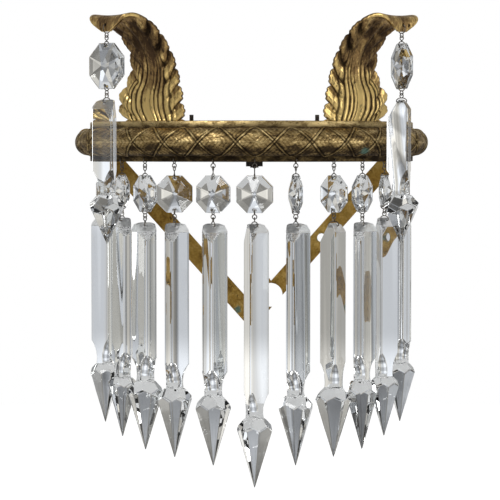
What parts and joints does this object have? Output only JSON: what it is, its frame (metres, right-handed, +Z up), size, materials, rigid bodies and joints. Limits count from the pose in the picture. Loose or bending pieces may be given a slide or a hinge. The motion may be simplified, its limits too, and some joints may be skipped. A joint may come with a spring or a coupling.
{
  "type": "crystal wall sconce",
  "caption": "Half-round cast brass gallery with acanthus leaves on a V wall bracket, hung with cut-glass octagons and spear prisms on wire eyes.",
  "frame": {"origin": "on the wall, at the bracket's back face, midway between the two wall-screw holes", "axes": "+Z up along the wall, +X to the right as seen from the room, -Y out of the wall into the room"},
  "size_m": [0.1822, 0.0911, 0.2286],
  "materials": {
    "cast_brass": "aged gilt brass, dark in the hollows",
    "strip_brass": "worn rolled strip with dark specks",
    "dark_steel": "blackened steel",
    "wire": "dull tinned wire",
    "crystal": "clear cut and polished lead glass"
  },
  "bodies": {
    "frame": {"wall_bracket": "strip_brass", "band": "cast_brass", "band_screws": "dark_steel", "front_bolt": "dark_steel", "leaf_left": "cast_brass", "leaf_right": "cast_brass", "leaf_pegs": "dark_steel", "hooks": "wire"},
    "bead_front": {"octagon_front": "crystal", "octagon_pins_front": "wire"},
    "drop_front": {"prism_front": "crystal", "prism_pin_front": "wire"},
    "bead_left_1": {"octagon_left_1": "crystal", "octagon_pins_left_1": "wire"},
    "drop_left_1": {"prism_left_1": "crystal", "prism_pin_left_1": "wire"},
    "bead_right_1": {"octagon_right_1": "crystal", "octagon_pins_right_1": "wire"},
    "drop_right_1": {"prism_right_1": "crystal", "prism_pin_right_1": "wire"},
    "bead_left_2": {"octagon_left_2": "crystal", "octagon_pins_left_2": "wire"},
    "drop_left_2": {"prism_left_2": "crystal", "prism_pin_left_2": "wire"},
    "bead_right_2": {"octagon_right_2": "crystal", "octagon_pins_right_2": "wire"},
    "drop_right_2": {"prism_right_2": "crystal", "prism_pin_right_2": "wire"},
    "bead_left_3": {"octagon_left_3": "crystal", "octagon_pins_left_3": "wire"},
    "drop_left_3": {"prism_left_3": "crystal", "prism_pin_left_3": "wire"},
    "bead_right_3": {"octagon_right_3": "crystal", "octagon_pins_right_3": "wire"},
    "drop_right_3": {"prism_right_3": "crystal", "prism_pin_right_3": "wire"},
    "bead_left_4": {"octagon_left_4": "crystal", "octagon_pins_left_4": "wire"},
    "drop_left_4": {"prism_left_4": "crystal", "prism_pin_left_4": "wire"},
    "bead_right_4": {"octagon_right_4": "crystal", "octagon_pins_right_4": "wire"},
    "drop_right_4": {"prism_right_4": "crystal", "prism_pin_right_4": "wire"},
    "bead_left_5": {"octagon_left_5": "crystal", "octagon_pins_left_5": "wire"},
    "drop_left_5": {"prism_left_5": "crystal", "prism_pin_left_5": "wire"},
    "bead_right_5": {"octagon_right_5": "crystal", "octagon_pins_right_5": "wire"},
    "drop_right_5": {"prism_right_5": "crystal", "prism_pin_right_5": "wire"},
    "bead_leaf_left": {"octagon_leaf_left": "crystal", "octagon_pins_leaf_left": "wire"},
    "drop_leaf_left": {"prism_leaf_left": "crystal", "prism_pin_leaf_left": "wire"},
    "bead_leaf_right": {"octagon_leaf_right": "crystal", "octagon_pins_leaf_right": "wire"},
    "drop_leaf_right": {"prism_leaf_right": "crystal", "prism_pin_leaf_right": "wire"}
  },
  "joints": [
    {"name": "bead_swing_front", "type": "hinge", "parent": "frame", "child": "bead_front", "pos_m": [0, -0.08205, 0.0362], "axis": [-1, 0, 0], "range_deg": [-1, 30]},
    {"name": "prism_swing_front", "type": "hinge", "parent": "bead_front", "child": "drop_front", "pos_m": [0, -0.08205, 0.0117], "axis": [-1, 0, 0], "range_deg": [-1, 30]},
    {"name": "bead_swing_left_1", "type": "hinge", "parent": "frame", "child": "bead_left_1", "pos_m": [-0.01985, -0.07961, 0.0362], "axis": [-0.9703, 0.2419, 0], "range_deg": [-1, 30]},
    {"name": "prism_swing_left_1", "type": "hinge", "parent": "bead_left_1", "child": "drop_left_1", "pos_m": [-0.01985, -0.07961, 0.0117], "axis": [-0.9703, 0.2419, 0], "range_deg": [-1, 30]},
    {"name": "bead_swing_right_1", "type": "hinge", "parent": "frame", "child": "bead_right_1", "pos_m": [0.01985, -0.07961, 0.0362], "axis": [-0.9703, -0.2419, 0], "range_deg": [-1, 30]},
    {"name": "prism_swing_right_1", "type": "hinge", "parent": "bead_right_1", "child": "drop_right_1", "pos_m": [0.01985, -0.07961, 0.0117], "axis": [-0.9703, -0.2419, 0], "range_deg": [-1, 30]},
    {"name": "bead_swing_left_2", "type": "hinge", "parent": "frame", "child": "bead_left_2", "pos_m": [-0.03852, -0.07245, 0.0362], "axis": [-0.8829, 0.4695, 0], "range_deg": [-1, 30]},
    {"name": "prism_swing_left_2", "type": "hinge", "parent": "bead_left_2", "child": "drop_left_2", "pos_m": [-0.03852, -0.07245, 0.0117], "axis": [-0.8829, 0.4695, 0], "range_deg": [-1, 30]},
    {"name": "bead_swing_right_2", "type": "hinge", "parent": "frame", "child": "bead_right_2", "pos_m": [0.03852, -0.07245, 0.0362], "axis": [-0.8829, -0.4695, 0], "range_deg": [-1, 30]},
    {"name": "prism_swing_right_2", "type": "hinge", "parent": "bead_right_2", "child": "drop_right_2", "pos_m": [0.03852, -0.07245, 0.0117], "axis": [-0.8829, -0.4695, 0], "range_deg": [-1, 30]},
    {"name": "bead_swing_left_3", "type": "hinge", "parent": "frame", "child": "bead_left_3", "pos_m": [-0.05296, -0.06267, 0.0362], "axis": [-0.7638, 0.6455, 0], "range_deg": [-1, 8]},
    {"name": "prism_swing_left_3", "type": "hinge", "parent": "bead_left_3", "child": "drop_left_3", "pos_m": [-0.05296, -0.06267, 0.0117], "axis": [-0.7638, 0.6455, 0], "range_deg": [-1, 20]},
    {"name": "bead_swing_right_3", "type": "hinge", "parent": "frame", "child": "bead_right_3", "pos_m": [0.05296, -0.06267, 0.0362], "axis": [-0.7638, -0.6455, 0], "range_deg": [-1, 8]},
    {"name": "prism_swing_right_3", "type": "hinge", "parent": "bead_right_3", "child": "drop_right_3", "pos_m": [0.05296, -0.06267, 0.0117], "axis": [-0.7638, -0.6455, 0], "range_deg": [-1, 20]},
    {"name": "bead_swing_left_4", "type": "hinge", "parent": "frame", "child": "bead_left_4", "pos_m": [-0.06466, -0.05051, 0.0362], "axis": [-0.6157, 0.788, 0], "range_deg": [-1, 30]},
    {"name": "prism_swing_left_4", "type": "hinge", "parent": "bead_left_4", "child": "drop_left_4", "pos_m": [-0.06466, -0.05051, 0.0137], "axis": [-0.6157, 0.788, 0], "range_deg": [-1, 30]},
    {"name": "bead_swing_right_4", "type": "hinge", "parent": "frame", "child": "bead_right_4", "pos_m": [0.06466, -0.05051, 0.0362], "axis": [-0.6157, -0.788, 0], "range_deg": [-1, 30]},
    {"name": "prism_swing_right_4", "type": "hinge", "parent": "bead_right_4", "child": "drop_right_4", "pos_m": [0.06466, -0.05051, 0.0137], "axis": [-0.6157, -0.788, 0], "range_deg": [-1, 30]},
    {"name": "bead_swing_left_5", "type": "hinge", "parent": "frame", "child": "bead_left_5", "pos_m": [-0.07375, -0.03597, 0.0362], "axis": [-0.4384, 0.8988, 0], "range_deg": [-1, 30]},
    {"name": "prism_swing_left_5", "type": "hinge", "parent": "bead_left_5", "child": "drop_left_5", "pos_m": [-0.07375, -0.03597, 0.0137], "axis": [-0.4384, 0.8988, 0], "range_deg": [-1, 30]},
    {"name": "bead_swing_right_5", "type": "hinge", "parent": "frame", "child": "bead_right_5", "pos_m": [0.07375, -0.03597, 0.0362], "axis": [-0.4384, -0.8988, 0], "range_deg": [-1, 30]},
    {"name": "prism_swing_right_5", "type": "hinge", "parent": "bead_right_5", "child": "drop_right_5", "pos_m": [0.07375, -0.03597, 0.0137], "axis": [-0.4384, -0.8988, 0], "range_deg": [-1, 30]},
    {"name": "bead_swing_leaf_left", "type": "hinge", "parent": "frame", "child": "bead_leaf_left", "pos_m": [-0.07088, -0.07522, 0.0988], "axis": [-0.7278, 0.6858, 0], "range_deg": [-1, 30]},
    {"name": "prism_swing_leaf_left", "type": "hinge", "parent": "bead_leaf_left", "child": "drop_leaf_left", "pos_m": [-0.07088, -0.07522, 0.07115], "axis": [-0.7278, 0.6858, 0], "range_deg": [-1, 30]},
    {"name": "bead_swing_leaf_right", "type": "hinge", "parent": "frame", "child": "bead_leaf_right", "pos_m": [0.07088, -0.07522, 0.0988], "axis": [-0.7278, -0.6858, 0], "range_deg": [-1, 30]},
    {"name": "prism_swing_leaf_right", "type": "hinge", "parent": "bead_leaf_right", "child": "drop_leaf_right", "pos_m": [0.07088, -0.07522, 0.07115], "axis": [-0.7278, -0.6858, 0], "range_deg": [-1, 30]}
  ]
}
